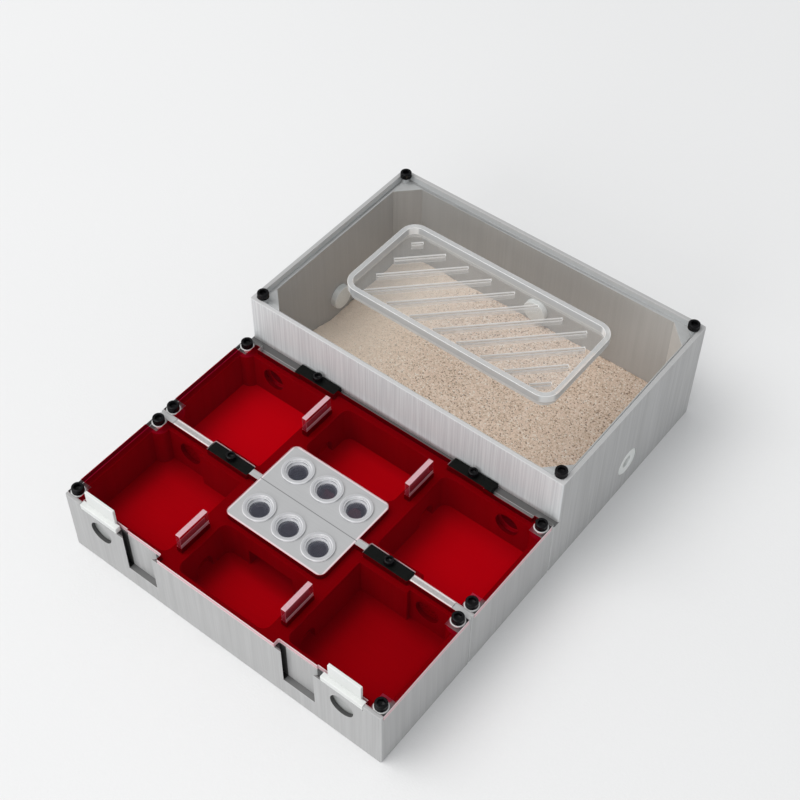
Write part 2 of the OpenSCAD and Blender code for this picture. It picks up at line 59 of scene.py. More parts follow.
light = {"sky": 0.56, "skyColour": (0.98, 0.99, 1.0), "backdrop": (0.84, 0.84, 0.85), "floorReach": 5.0,
         "lamps": {"keyLamp": {"from": (-0.42, -0.36, 1.0), "distance": 3.0, "size": 2.2,
                               "power": 50.5, "colour": (1.0, 0.985, 0.97)},
                   "frontLamp": {"from": (0.10, -1.0, 0.42), "distance": 3.0, "size": 1.5,
                                 "power": 16.0, "colour": (1.0, 0.99, 0.985)}}}


def placeCamera():
    azimuth, elevation, roll = (math.radians(camera[angle])
                                for angle in ("azimuth", "elevation", "roll"))
    forward = Vector((-math.sin(azimuth) * math.cos(elevation),
                      math.cos(azimuth) * math.cos(elevation), -math.sin(elevation)))
    right = Vector((math.cos(azimuth), math.sin(azimuth), 0.0))
    up = right.cross(forward)
    across = right * math.cos(roll) + up * math.sin(roll)
    upwards = up * math.cos(roll) - right * math.sin(roll)
    data = bpy.data.cameras.new("photoCamera")
    data.lens = camera["lens"]
    data.clip_start, data.clip_end = 0.02, 40.0
    obj = bpy.data.objects.new("photoCamera", data)
    bpy.context.scene.collection.objects.link(obj)
    turn = Matrix((across, upwards, -forward)).transposed().to_4x4()
    place = Vector(camera["aim"]) * mm - forward * camera["distance"] * mm
    obj.matrix_world = Matrix.Translation(place) @ turn
    bpy.context.scene.camera = obj


def placeLamps():
    for name, lamp in light["lamps"].items():
        data = bpy.data.lights.new(name, "AREA")
        data.shape, data.size = "SQUARE", lamp["size"]
        data.energy, data.color = lamp["power"], lamp["colour"]
        obj = bpy.data.objects.new(name, data)
        bpy.context.scene.collection.objects.link(obj)
        place = Vector(lamp["from"]).normalized() * lamp["distance"]
        obj.location = place
        obj.rotation_euler = (-place).to_track_quat("-Z", "Y").to_euler()


class Value:
    # a socket of a finish, so that shader maths reads as plain sums
    def __init__(self, finish, socket):
        self.finish, self.socket = finish, socket

    def sum(self, operation, *others):
        values = {i: v for i, v in enumerate((self,) + others)}
        return self.finish.node("ShaderNodeMath", {"operation": operation}, values)

    def __add__(self, other):
        return self.sum("ADD", other)

    __radd__ = __add__

    def __mul__(self, other):
        return self.sum("MULTIPLY", other)

    __rmul__ = __mul__

    def __sub__(self, other):
        return self.sum("SUBTRACT", other)

    def __rsub__(self, other):
        return self.finish.node("ShaderNodeMath", {"operation": "SUBTRACT"}, {0: other, 1: self})

    def __truediv__(self, other):
        return self.sum("DIVIDE", other)

    def __abs__(self):
        return self.sum("ABSOLUTE")

    def least(self, other):
        return self.sum("MINIMUM", other)

    def most(self, other):
        return self.sum("MAXIMUM", other)

    def ease(self, start, end):
        # 0 before start, 1 after end, smooth between
        return self.finish.node("ShaderNodeMapRange", {"interpolation_type": "SMOOTHSTEP"},
                                {"Value": self, "From Min": start, "From Max": end})

    def past(self, start, end):
        # the same, with its two places in millimetres
        return self.ease(start * mm, end * mm)

    def within(self, low, high, soft):
        # 1 between two places in millimetres
        return self.past(low, low + soft) * (1 - self.past(high, high + soft))


class Finish:
    def __init__(self, name):
        self.material = bpy.data.materials.new(name)
        self.material.use_nodes = True
        self.tree = self.material.node_tree
        self.tree.nodes.clear()
        self.place = self.node("ShaderNodeTexCoord", out="Object")
        self.facing = self.node("ShaderNodeTexCoord", out="Normal")

    def node(self, kind, settings=None, values=None, out=0):
        made = self.tree.nodes.new(kind)
        for key, setting in (settings or {}).items():
            if key == "stops":
                ramp = made.color_ramp
                while len(ramp.elements) < len(setting):
                    ramp.elements.new(0.5)
                for element, (position, colour) in zip(ramp.elements, setting):
                    element.position, element.color = position, (*colour, 1.0)
            else:
                setattr(made, key, setting)
        for key, value in (values or {}).items():
            socket = made.inputs[key]
            if isinstance(value, Value):
                self.tree.links.new(value.socket, socket)
            else:
                socket.default_value = value
        return Value(self, made.outputs[out])

    def mix(self, factor, first, second, mode="MIX"):
        colours = {6: first, 7: second}
        for key, colour in colours.items():
            if isinstance(colour, tuple):
                colours[key] = (*colour, 1.0)
        return self.node("ShaderNodeMix", {"data_type": "RGBA", "blend_type": mode},
                         {0: factor, **colours}, out=2)

    def axes(self, vector):
        return [self.node("ShaderNodeSeparateXYZ", None, {"Vector": vector}, out=axis)
                for axis in range(3)]

    def spread(self, scale, turn=(0.0, 0.0, 0.0)):
        # the place on the object, stretched by a scale for each axis
        return self.node("ShaderNodeMapping", None,
                         {"Vector": self.place, "Scale": scale, "Rotation": turn})

    def cloud(self, scale, detail=2.0, roughness=0.5, turn=(0.0, 0.0, 0.0)):
        return self.node("ShaderNodeTexNoise", None,
                         {"Vector": self.spread(scale, turn), "Scale": 1.0, "Detail": detail,
                          "Roughness": roughness})

    def bump(self, height, strength, distance):
        return self.node("ShaderNodeBump", None,
                         {"Height": height, "Strength": strength, "Distance": distance})

    def skin(self, **values):
        # the one principled shader, its sockets by short names
        names = {"colour": "Base Color", "roughness": "Roughness", "metallic": "Metallic",
                 "coat": "Coat Weight", "coatRoughness": "Coat Roughness",
                 "normal": "Normal", "specular": "Specular IOR Level"}
        sockets = {}
        for key, value in values.items():
            if isinstance(value, tuple):
                value = (*value, 1.0)
            sockets[names[key]] = value
        return self.node("ShaderNodeBsdfPrincipled", None, sockets)

    def veil(self, factor, tint, skin):
        # clear at factor 0, the skin at factor 1
        through = self.node("ShaderNodeBsdfTransparent", None, {"Color": (*tint, 1.0)})
        return self.node("ShaderNodeMixShader", None, {0: factor, 1: through, 2: skin})

    def done(self, shader):
        end = self.tree.nodes.new("ShaderNodeOutputMaterial")
        self.tree.links.new(shader.socket, end.inputs["Surface"])
        return self.material

    def edges(self):
        # 1 on the small bevels between flat faces, 0 on the faces
        x, y, z = (abs(a) for a in self.axes(self.facing))
        return 1 - x.most(y).most(z).ease(0.88, 0.985)

    def sides(self):
        # 1 on upright faces
        return 1 - abs(self.axes(self.facing)[2]).ease(0.3, 0.8)


def greyPrint(f, streakDepth=0.30):
    # what all printed grey pieces share: fine upright streaks on walls, slanting rows on tops
    flat = abs(f.axes(f.facing)[2]).ease(0.6, 0.9)
    wall = 1 - flat
    streaks = f.cloud((1300, 1300, 20), 3.0, 0.6)
    broad = f.cloud((330, 330, 14), 2.0, 0.5)
    patches = f.cloud((22, 22, 22), 3.0, 0.55)
    rows = f.cloud((70, 2600, 400), 2.0, 0.5, (0, 0, math.radians(45)))
    onWalls = (streaks - 0.5) * streakDepth + (broad - 0.5) * streakDepth * 0.6
    shade = onWalls * wall + (rows - 0.5) * 0.16 * flat + (patches - 0.5) * 0.06
    base = f.mix(shade.ease(-0.13, 0.13), (0.385, 0.387, 0.388), (0.490, 0.492, 0.493))
    look = {"roughness": 0.44 + (streaks - 0.5) * 0.16, "specular": 0.40,
            "normal": f.bump(streaks * wall + rows * flat, 0.35, 0.00012)}
    return base, flat, look


def darker(f, colour, mask, amount):
    # the colour times 1 - amount, where the mask is 1
    return f.mix(mask * amount, colour, (0.0, 0.0, 0.0))


def disc(across, along, radius, soft):
    # 1 inside a circle, its sizes in millimetres
    return 1 - (across * across + along * along).sum("SQRT").past(radius, radius + soft)


def portHole(px, pz):
    # 1 inside the round ports of the long walls
    return disc(abs(px) - habitat["portX"] * mm, pz - habitat["portZ"] * mm,
                habitat["portRadius"], 0.08)


# how much painted shade darkens each part of a nest tray against its bare outside
trayShade = {"chamberWall": 0.48, "coveredTop": 0.62, "bareTop": 0.55, "boxSideLip": 0.72,
             "seenBore": 0.82, "frontBore": 0.85, "leftStrip": 0.55, "floorCorner": 0.45,
             "frontRightFloor": 0.28, "undercut": 0.90, "pocketFloor": 0.62}
# painted light on the rear chamber floors, more in the rear left one
rearFloor = {"colour": (0.66, 0.66, 0.66), "amount": 0.30, "moreAtLeft": 0.35}


def trayGrey():
    f = Finish("trayGrey")
    px, py, pz = f.axes(f.place)
    base, flat, look = greyPrint(f)
    halfDepth = habitat["unitDepth"] / 2 * mm
    fromMiddle = abs(px)
    inward = habitat["unitDepth"] * mm - abs(py - habitat["seamY"] * mm)  # from the outer long face
    outer = fromMiddle.past(26, 30)  # 0 in the middle chamber, 1 in the outer ones
    rear = py.past(-58.5, -57.5)
    # the part under the cover, and the tops of its walls
    deep = inward.past(5.2, 5.5).most(inward.past(2.6, 2.9) * (1 - fromMiddle.past(24.0, 24.3)))
    inside = deep * (1 - inward.past(54.1, 54.4)) * (1 - fromMiddle.past(82.2, 82.4))
    topFace = flat * pz.within(31.5, 32.2, 0.3)
    bare = fromMiddle.past(78.3, 78.5) * abs(inward - halfDepth).past(19.3, 19.5)
    # chamber floors, with painted shade from their middles to their corners
    floor = flat * inside * (1 - pz.past(12.3, 12.6))
    across = (abs(fromMiddle - 57.25 * mm) / (24.75 * mm)).least(fromMiddle / (24 * mm))
    along = (abs(inward - 29.85 * mm) / (24.25 * mm)) * outer
    along = along + (abs(inward - 17.4 * mm) / (14.4 * mm)) * (1 - outer)
    corner = across.most(along).ease(0.55, 1.05)
    # key pockets
    pocket = fromMiddle.within(31.0, 55.0, 0.2) * (1 - inward.past(3.2, 3.4)) * inward.past(0.1, 0.2)
    aside = abs(fromMiddle - habitat["keyX"] * mm).past(7.9, 8.2)
    bore = portHole(px, pz)
    masks = {"chamberWall": inside * (1 - flat),
             "coveredTop": topFace * (1 - bare),
             "bareTop": topFace * bare,
             "boxSideLip": flat * pz.past(34.5, 34.8) * py.past(-2.3, -2.1),
             "seenBore": bore * inward.past(6.0, 6.4).most(py.past(-58.0, -57.5)),
             "frontBore": bore * (1 - py.past(-113.0, -112.5)),
             "leftStrip": topFace * (1 - px.past(-82.4, -82.0)),
             "floorCorner": floor * corner,
             "frontRightFloor": floor * (1 - rear) * px.past(26, 30),
             "undercut": pocket * aside * inward.past(0.6, 1.0),
             "pocketFloor": pocket * flat * pz.within(10.3, 10.7, 0.2)}
    # painted highlights on the outer edges, then the painted shade of each mask
    colour = f.mix(f.edges() * 0.55 * (1 - inside), base, (0.60, 0.605, 0.605))
    for name, mask in masks.items():
        colour = darker(f, colour, mask, trayShade[name])
    # painted light on the rear chamber floors, more at the left
    lighter = rearFloor["amount"] + (1 - px.past(-30, -26)) * rearFloor["moreAtLeft"]
    colour = f.mix(floor * rear * lighter, colour, rearFloor["colour"])
    return f.done(f.skin(colour=colour, **look))


def boxGrey():
    # the foraging box: streaky front wall brightened by painted light, painted light on the rim's top
    # and painted highlights on the outer edges; inside, painted shade with smoother streaks, painted
    # light growing to the right and most on the right inner wall; painted shade on the step and in the
    # bores
    f = Finish("boxGrey")
    px, py, pz = f.axes(f.place)
    base, flat, look = greyPrint(f, 0.46)
    wall = 1 - flat
    inside = (1 - abs(px).past(81.1, 81.3)) * py.past(6.4, 6.7) * (1 - py.past(111.7, 111.9))
    rightSide = inside * (1 - f.axes(f.facing)[0].ease(-0.9, -0.5))
    front = (1 - py.past(3.2, 3.5)) * wall * pz.past(32.2, 35.0)
    rimTop = flat * pz.past(53.5, 54.0) * (1 - py.past(8, 10))
    step = flat * pz.within(31.5, 32.2, 0.3)
    bore = portHole(px, pz) * (1 - py.past(16.5, 17.0))
    lines = f.cloud((1300, 1300, 20), 3.0, 0.6).ease(0.36, 0.66)
    # painted light across the inside walls: darker at the left, lighter at the right
    smooth = f.mix(px.past(10, 75), (0.385, 0.370, 0.350), (0.600, 0.575, 0.545))
    colour = f.mix(f.edges() * 0.6 * (1 - inside), base, (0.62, 0.625, 0.625))
    colour = f.mix(front * 0.60, colour, f.mix(lines, (0.80, 0.83, 0.85), (0.95, 0.99, 1.0)))
    colour = f.mix(rimTop * 0.40, colour, (0.74, 0.74, 0.75))
    colour = f.mix(inside * wall * 0.55, darker(f, colour, inside * wall, 0.14), smooth)
    colour = f.mix(rightSide * 0.80, colour, (0.74, 0.70, 0.66))
    colour = darker(f, darker(f, colour, step, 0.76), bore, 0.85)
    return f.done(f.skin(colour=colour, **look))


def panelGrey():
    # the vent panels: painted pink-white highlight round their outline and on their edges, fine dark
    # line where the two meet
    f = Finish("panelGrey")
    px, py, pz = f.axes(f.place)
    base, flat, look = greyPrint(f, 0.2)
    fromSeam = abs(py - habitat["seamY"] * mm)
    seam = 1 - fromSeam.past(0.1, 0.3)
    outline = (abs(px) - 26.3 * mm).most(fromSeam - 22.8 * mm).past(-1.0, -0.6)
    lit = (outline * 0.75).most(f.edges() * 0.8) * (1 - seam)
    colour = f.mix(lit, f.mix(0.35, base, (0.46, 0.47, 0.49)), (0.88, 0.75, 0.78))
    return f.done(f.skin(colour=darker(f, colour, seam, 0.55), **look))


def redFilm():
    f = Finish("redFilm")
    patches = f.cloud((30, 30, 30), 3.0, 0.6)
    fine = f.cloud((900, 900, 900), 2.0, 0.5)
    glance = f.node("ShaderNodeLayerWeight", None, {"Blend": 0.35}, out="Facing")
    cover = 0.035 + glance * glance * 0.18 + (patches - 0.5) * 0.02 + f.sides() * 0.6
    skin = f.skin(colour=f.mix(patches, (0.36, 0.0, 0.008), (0.44, 0.002, 0.014)),
                  roughness=0.12 + fine * 0.05, specular=0.35,
                  normal=f.bump(patches, 0.10, 0.0006))
    return f.done(f.veil(cover, (0.965, 0.014, 0.085), skin))


clearTint = (0.985, 0.99, 0.99)  # what shows through the clear plates


def nestAcrylic():
    # clear plate under the film; its sawn sides carry a painted glow of the film's pink, lightest near
    # their top and bottom, and painted shade where they are seen from within
    f = Finish("nestAcrylic")
    px, py, pz = f.axes(f.place)
    side = f.sides()
    within = f.node("ShaderNodeNewGeometry", out="Backfacing")
    saw = f.cloud((900, 900, 60), 2.0, 0.6)
    level = (pz - habitat["trayTop"] * mm) / ((habitat["coverTop"] - habitat["trayTop"]) * mm)
    glow = f.mix(abs(level - 0.45).ease(0.15, 0.5), (0.78, 0.50, 0.53), (0.95, 0.84, 0.86))
    pink = f.mix(within, glow, (0.035, 0.03, 0.03))
    # white ring round each screw
    half = habitat["unitDepth"] / 2
    acrossScrew = abs(px) - (habitat["halfWidth"] - coverScrew["fromSide"]) * mm
    fromHalf = abs(half * mm - abs(py - habitat["seamY"] * mm))
    ring = disc(acrossScrew, fromHalf - (half - coverScrew["fromEnd"]) * mm, 3.1, 0.3)
    colour = f.mix(ring, f.mix(side, (0.9, 0.92, 0.92), pink), (0.88, 0.89, 0.89))
    skin = f.skin(colour=colour, roughness=0.07 + side * (0.25 + saw * 0.2),
                  specular=0.5, normal=f.bump(saw, 0.3, 0.0001))
    cover = 0.012 + side * (0.84 + within * 0.13)
    return f.done(f.veil(cover.most(ring * 0.8), clearTint, skin))


def boxAcrylic():
    # the box's clear cover
    f = Finish("boxAcrylic")
    side = f.sides()
    saw = f.cloud((700, 700, 50), 2.0, 0.6)
    haze = f.cloud((14, 14, 14), 4.0, 0.6)
    skin = f.skin(colour=(0.80, 0.82, 0.83), roughness=0.06 + side * (0.22 + saw * 0.2),
                  specular=0.5, normal=f.bump(saw, 0.25, 0.0001))
    return f.done(f.veil(0.010 + haze * 0.015 + side * 0.6, clearTint, skin))


def lidAcrylic():
    # moulded lid: rim with a painted darker reflection on its sides and painted highlights on its
    # edges, frosted walls in the slits
    f = Finish("lidAcrylic")
    pz = f.axes(f.place)[2]
    side, edges = f.sides(), f.edges()
    rim = pz.past(57.2, 58.0)
    slits = side * (1 - rim)
    slitLip = slits * pz.past(56.4, 56.8)
    saw = f.cloud((600, 600, 90), 2.0, 0.6)
    glance = f.node("ShaderNodeLayerWeight", None, {"Blend": 0.4}, out="Facing")
    cover = 0.012 + slits * 0.04 + slitLip * 0.75 + rim * (0.40 + side * 0.26)
    cover = cover + edges * (0.25 + rim * 0.3) + glance * 0.05
    rimWithReflection = f.mix(side, (0.84, 0.86, 0.87), (0.58, 0.60, 0.62))
    colour = f.mix(edges, f.mix(slits, rimWithReflection, (0.92, 0.90, 0.86)), (0.93, 0.94, 0.94))
    skin = f.skin(colour=colour, roughness=0.08 + slits * 0.45, specular=0.55,
                  normal=f.bump(saw, 0.2, 0.0001))
    return f.done(f.veil(cover.least(0.97), clearTint, skin))


def gateAcrylic():
    # clear plate with pale sawn ends and painted highlights on its edges; along the cover a band of
    # painted glow in the film's pink, with a painted highlight line at its top
    f = Finish("gateAcrylic")
    x, y, z = f.axes(f.facing)
    pz = f.axes(f.place)[2]
    top, end, edges = z.ease(0.4, 0.8), abs(y).ease(0.4, 0.8), f.edges()
    band = pz.past(34.9, 35.2) * (1 - pz.past(37.0, 37.6)) * (1 - top) * (1 - end)
    line = band * pz.past(36.6, 37.0)
    saw = f.cloud((900, 1400, 200), 2.0, 0.6)
    pale = f.mix(saw, (0.66, 0.36, 0.41), (0.80, 0.52, 0.57))
    body = f.mix(band, (0.36, 0.02, 0.035), f.mix(line, (0.52, 0.22, 0.26), (0.84, 0.66, 0.70)))
    colour = f.mix(top.most(edges * 0.8), f.mix(end, body, (0.34, 0.02, 0.04)), pale)
    cover = 0.16 + band * 0.62 + top * 0.68 + end * 0.35 + edges * 0.4
    skin = f.skin(colour=colour, roughness=0.08 + (top + band).least(1.0) * (0.25 + saw * 0.15),
                  specular=0.5, normal=f.bump(saw, 0.25, 0.0001))
    return f.done(f.veil(cover.least(0.96), (0.90, 0.62, 0.66), skin))


def milkyPlastic():
    # port gates and plugs, with painted highlights on their edges; painted shade darkens a gate's plate
    # behind its port to the grey of the wall
    f = Finish("milkyPlastic")
    px, py, pz = f.axes(f.place)
    patches = f.cloud((120, 120, 120), 3.0, 0.55)
    fine = f.cloud((1500, 1500, 1500), 2.0, 0.5)
    base = f.mix(patches, (0.70, 0.725, 0.71), (0.78, 0.795, 0.785))
    plate = (1 - py.past(-112.5, -112.0)) * (1 - pz.past(31.2, 31.6))
    colour = darker(f, f.mix(f.edges() * 0.6, base, (0.92, 0.93, 0.93)), plate, 0.42)
    return f.done(f.skin(colour=colour, roughness=0.28 + fine * 0.14, specular=0.5,
                         normal=f.bump(fine, 0.12, 0.0001)))


def seamPlastic():
    # gates in the seam: half clear caps with white edges and painted highlights on their bevels,
    # painted shade darkening the plates between the trays
    f = Finish("seamPlastic")
    px, py, pz = f.axes(f.place)
    fine = f.cloud((900, 900, 900), 2.0, 0.5)
    fromSeam = abs(py - habitat["seamY"] * mm)
    middle = 1 - abs(fromSeam - 0.3 * mm).past(0.1, 0.6)
    rim = fromSeam.past(0.8, 1.15)
    base = f.mix(fine, (0.42, 0.40, 0.395), (0.50, 0.485, 0.48))
    cap = f.mix(middle * 0.4, base, (0.30, 0.27, 0.27))
    colour = f.mix((rim * 0.9).most(f.edges() * 0.8), cap, (0.86, 0.83, 0.83))
    colour = darker(f, colour, 1 - pz.past(31.2, 31.6), 0.72)
    return f.done(f.skin(colour=colour, roughness=0.22 + fine * 0.12, specular=0.5,
                         normal=f.bump(fine, 0.12, 0.0001)))


def ringPlastic():
    # vent rings: clear white moulding with painted highlights on its edges, greyer in its hollow from
    # painted shade
    f = Finish("ringPlastic")
    patches = f.cloud((200, 200, 200), 3.0, 0.55)
    deep = 1 - f.axes(f.place)[2].past(33.5, 35.2)
    base = f.mix(patches, (0.43, 0.44, 0.46), (0.53, 0.535, 0.55))
    lit = f.mix(f.edges() * 0.8, base, (0.95, 0.95, 0.97))
    colour = f.mix(deep * 0.45, lit, (0.42, 0.43, 0.48))
    return f.done(f.skin(colour=colour, roughness=0.16 + patches * 0.1, specular=0.6, coat=0.3,
                         coatRoughness=0.08, normal=f.bump(patches, 0.1, 0.0002)))


grainTones = [(0.00, (0.090, 0.050, 0.030)), (0.05, (0.260, 0.155, 0.095)), (0.12, (0.56, 0.41, 0.29)),
              (0.45, (0.80, 0.610, 0.485)), (0.80, (0.88, 0.700, 0.580)), (0.94, (0.95, 0.84, 0.74)),
              (1.00, (0.97, 0.93, 0.87))]


def looseSand():
    # grains of many tones, with painted light to the left and painted shade to the right
    f = Finish("looseSand")
    px = f.axes(f.place)[0]
    grains = {"Vector": f.place, "Scale": 1750.0, "Randomness": 1.0}
    tone = f.axes(f.node("ShaderNodeTexVoronoi", None, grains, out="Color"))[0]
    depth = f.node("ShaderNodeTexVoronoi", None, grains, out="Distance")
    patches = f.cloud((26, 26, 26), 4.0, 0.6)
    fine = f.cloud((5200, 5200, 5200), 2.0, 0.6)
    ramp = f.node("ShaderNodeValToRGB", {"stops": grainTones}, {"Fac": tone})
    colour = f.mix(0.12, ramp, f.mix(patches, (0.72, 0.53, 0.40), (0.90, 0.72, 0.59)))
    colour = f.mix((1 - px.past(-80, -15)) * 0.85, colour, (1.0, 0.86, 0.72))
    colour = darker(f, f.mix(0.10, colour, (0.90, 0.66, 0.47)), px.past(30, 75), 0.24)
    height = (1 - depth * 1.2) + fine * 0.15
    return f.done(f.skin(colour=colour, roughness=0.78 + (tone - 0.5) * 0.2, specular=0.35,
                         normal=f.bump(height, 0.55, 0.00035)))


def blackPrint():
    # printed black keys, with faint painted highlights on their edges
    f = Finish("blackPrint")
    rows = f.cloud((300, 4200, 700), 2.0, 0.55)
    blobs = f.cloud((420, 420, 420), 3.0, 0.6)
    colour = f.mix(f.edges() * 0.4 + blobs * 0.3, (0.0016, 0.0022, 0.0018), (0.010, 0.012, 0.011))
    return f.done(f.skin(colour=colour, roughness=0.20 + blobs * 0.3, specular=0.08,
                         normal=f.bump(rows * 0.6 + blobs * 0.8, 0.65, 0.00035)))


def blackSteel():
    # oiled socket screws
    f = Finish("blackSteel")
    blobs = f.cloud((900, 900, 900), 3.0, 0.6)
    colour = f.mix(blobs, (0.002, 0.002, 0.0025), (0.007, 0.007, 0.008))
    return f.done(f.skin(colour=colour, roughness=0.16 + blobs * 0.15, specular=0.14,
                         normal=f.bump(blobs, 0.2, 0.0001)))


def wovenSteel():
    f = Finish("wovenSteel")
    blobs = f.cloud((1500, 1500, 1500), 2.0, 0.6)
    colour = f.mix(blobs, (0.045, 0.048, 0.066), (0.10, 0.104, 0.135))
    return f.done(f.skin(colour=colour, roughness=0.30 + blobs * 0.15, metallic=0.75))


def plainFloor():
    f = Finish("plainFloor")
    weave = f.cloud((900, 900, 900), 2.0, 0.5)
    broad = f.cloud((2.2, 2.2, 2.2), 2.0, 0.5)
    colour = f.mix(broad, (0.815, 0.822, 0.828), (0.865, 0.87, 0.875))
    return f.done(f.skin(colour=colour, roughness=0.9, specular=0.1,
                         normal=f.bump(weave, 0.2, 0.0003)))


finishes = {made.name: made for made in (
    trayGrey(), boxGrey(), panelGrey(), redFilm(), nestAcrylic(), boxAcrylic(), lidAcrylic(),
    gateAcrylic(), milkyPlastic(), seamPlastic(), ringPlastic(), looseSand(), blackPrint(),
    blackSteel(), wovenSteel(), plainFloor())}
print("finishes made:", len(finishes))


def placeStage():
    world = bpy.data.worlds.new("softSky")
    bpy.context.scene.world = world
    world.use_nodes = True
    tree = world.node_tree
    tree.nodes.clear()
    ray = tree.nodes.new("ShaderNodeLightPath")
    sky = tree.nodes.new("ShaderNodeBackground")
    sky.inputs["Color"].default_value = (*light["skyColour"], 1.0)
    sky.inputs["Strength"].default_value = light["sky"]
    seen = tree.nodes.new("ShaderNodeBackground")
    seen.inputs["Color"].default_value = (*light["backdrop"], 1.0)
    mixed = tree.nodes.new("ShaderNodeMixShader")
    end = tree.nodes.new("ShaderNodeOutputWorld")
    tree.links.new(ray.outputs["Is Camera Ray"], mixed.inputs[0])
    tree.links.new(sky.outputs[0], mixed.inputs[1])
    tree.links.new(seen.outputs[0], mixed.inputs[2])
    tree.links.new(mixed.outputs[0], end.inputs["Surface"])
    bm = bmesh.new()
    bmesh.ops.create_grid(bm, x_segments=8, y_segments=8, size=light["floorReach"])
    floor = asObject(bm, "paleFloor", "plainFloor")


def asObject(bm, name, finish, smoothAngle=None):
    mesh = bpy.data.meshes.new(name)
    if smoothAngle is not None:
        for face in bm.faces:
            face.smooth = True
        for edge in bm.edges:
            if len(edge.link_faces) == 2 and edge.calc_face_angle(0.0) > math.radians(smoothAngle):
                edge.smooth = False
    bm.to_mesh(mesh)
    bm.free()
    mesh.materials.append(finishes[finish])
    obj = bpy.data.objects.new(name, mesh)
    bpy.context.scene.collection.objects.link(obj)
    return obj


def standFor(obj, body, slot, *nodes):
    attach(obj, body)
    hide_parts(*nodes)


def spun(profile, steps):
    # closed shape turned round the z axis; the profile is radius and height in mm
    bm = bmesh.new()
    points = [bm.verts.new((r * mm, 0.0, h * mm)) for r, h in profile]
    for first, second in zip(points, points[1:]):
        bm.edges.new((first, second))
    if profile[0][0] > 0:
        bm.edges.new((points[-1], points[0]))
    bmesh.ops.spin(bm, geom=bm.verts[:] + bm.edges[:], cent=(0, 0, 0), axis=(0, 0, 1),
                   angle=math.tau, steps=steps, use_merge=True)
    bmesh.ops.remove_doubles(bm, verts=bm.verts[:], dist=1e-7)
    bmesh.ops.recalc_face_normals(bm, faces=bm.faces[:])
    return bm


def joined(parts):
    # one bmesh from several (bmesh, matrix) pairs
    whole = bmesh.new()
    for part, place in parts:
        mesh = bpy.data.meshes.new("part")
        part.to_mesh(mesh)
        mesh.transform(place)
        whole.from_mesh(mesh)
        bpy.data.meshes.remove(mesh)
    return whole


def at(x, y, z, turn=None):
    place = Matrix.Translation(Vector((x, y, z)) * mm)
    return place @ turn.to_4x4() if turn else place


keyScrew = {"head": 2.25, "height": 2.5, "ribs": 34, "ribDepth": 0.11, "socket": 1.15,
            "socketDepth": 1.35, "shank": 1.24, "root": 1.05, "length": 12.0, "thread": 0.45}


def screwHead(size):
    # grown from its lower face, ring by ring; every second point of the ribbed rings goes inwards
    around = size["ribs"] * 2
    r, h, depth = size["head"], size["height"], size["ribDepth"]
    bm = bmesh.new()
    bmesh.ops.create_circle(bm, cap_ends=True, segments=around, radius=(r - 0.28) * mm)
    face = bm.faces[:][0]
    rings = [(r - 0.02, 0.22), (r, 0.34), (r, h - 0.62), (r - 0.05, h - 0.5), (r - 0.06, h - 0.3),
             (r - 0.16, h - 0.12), (r - 0.36, h), (size["socket"] * 1.16, h)]
    last = r - 0.28
    ribbed = []
    for count, (radius, height) in enumerate(rings):
        face = bmesh.ops.extrude_discrete_faces(bm, faces=[face])["faces"][0]
        bmesh.ops.scale(bm, vec=(radius / last, radius / last, 1.0), verts=face.verts[:])
        for vert in face.verts:
            vert.co.z = height * mm
        if count in (1, 2):
            ribbed.append(face.verts[:])
        last = radius
    for ring in ribbed:
        bmesh.ops.scale(bm, vec=(1 - depth / r, 1 - depth / r, 1.0), verts=ring[::2])
    # the hexagon socket, down to its drilled point
    deep = size["socketDepth"]
    for drop, shrink in ((0.0, 1.0), (0.14, 1.0), (deep, 1.0), (deep + 0.25, 0.35)):
        face = bmesh.ops.extrude_discrete_faces(bm, faces=[face])["faces"][0]
        for vert in face.verts:
            angle = math.atan2(vert.co.y, vert.co.x) % (math.pi / 3) - math.pi / 6
            reach = size["socket"] * mm / math.cos(angle) * (1.06 if drop == 0.0 else 1.0) * shrink
            flat = Vector((vert.co.x, vert.co.y)).normalized() * reach
            vert.co = (flat.x, flat.y, (h - drop) * mm)
    rim = [edge for edge in bm.edges if edge.is_boundary]
    bmesh.ops.holes_fill(bm, edges=rim, sides=0)
    bmesh.ops.recalc_face_normals(bm, faces=bm.faces[:])
    return bm


def screwShank(size):
    steps = int(size["length"] / size["thread"])
    profile = [(0.0, 0.0), (size["shank"], 0.0)]
    for step in range(steps):
        low = -step * size["thread"]
        profile += [(size["shank"], low - 0.08), (size["root"], low - size["thread"] * 0.5),
                    (size["shank"], low - size["thread"] + 0.06)]
    profile += [(size["root"], -size["length"]), (0.0, -size["length"])]
    return spun(profile, 20)


def placeScrews(name, size, spots, body, node):
    head, shank = screwHead(size), screwShank(size)
    turns = random.Random(len(name) * 7 + int(abs(spots[0][0])))
    parts = []
    for x, y, z in spots:
        turn = Matrix.Rotation(turns.uniform(0, math.pi / 3), 3, "Z")
        parts += [(head, at(x, y, z, turn)), (shank, at(x, y, z, turn))]
    obj = asObject(joined(parts), name, "blackSteel", 34)
    standFor(obj, body, "black_screw", node)
    head.free()
    shank.free()


